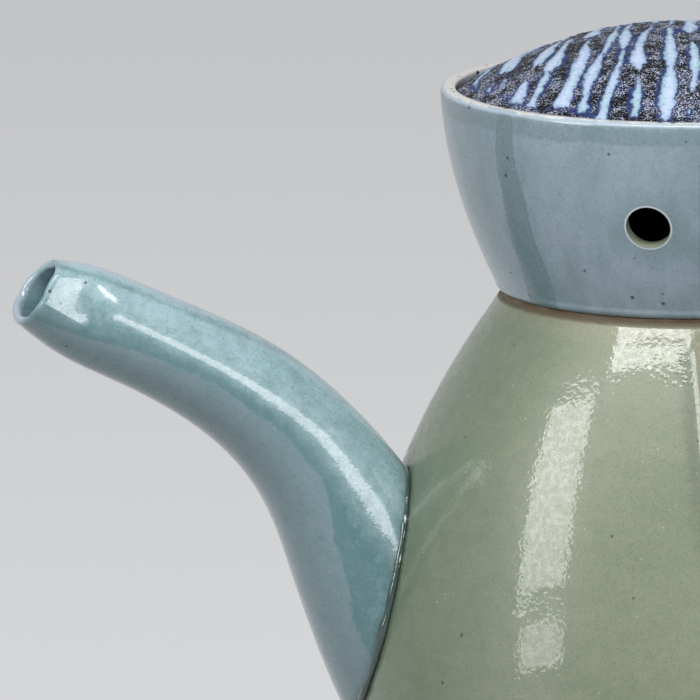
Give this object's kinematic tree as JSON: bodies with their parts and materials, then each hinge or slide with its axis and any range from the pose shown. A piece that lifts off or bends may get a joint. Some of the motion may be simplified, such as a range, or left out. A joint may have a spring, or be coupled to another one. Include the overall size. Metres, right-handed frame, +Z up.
{
  "type": "cruet",
  "caption": "Stoneware cruet with a bell body, a hollow side spout, a strap handle and a hollow domed lid with a vent hole that lifts off.",
  "frame": {"origin": "centre of the flat base, on the surface it stands on", "axes": "+Z up, +X towards the handle, so the spout points along -X and the front dart lies at -Y"},
  "size_m": [0.1762, 0.104, 0.139],
  "materials": {
    "sage_celadon": "gloss",
    "sage_foot": "satin",
    "thin_brown_glaze": "satin",
    "blue_celadon": "gloss",
    "grey_blue_celadon": "gloss",
    "speckled_dark": "satin",
    "bare_clay": "matte"
  },
  "bodies": {
    "vessel": {"base_slab": "sage_foot", "body_wall": "sage_celadon", "neck_ring": "thin_brown_glaze", "spout": "blue_celadon", "handle": "blue_celadon"},
    "lid": {"lid_wall": "grey_blue_celadon", "lid_dome": "speckled_dark", "lid_flange": "bare_clay"}
  },
  "joints": [
    {"name": "lid_lift", "type": "slide", "parent": "vessel", "child": "lid", "axis": [0, 0, 1], "range_m": [0, 0.06]}
  ]
}
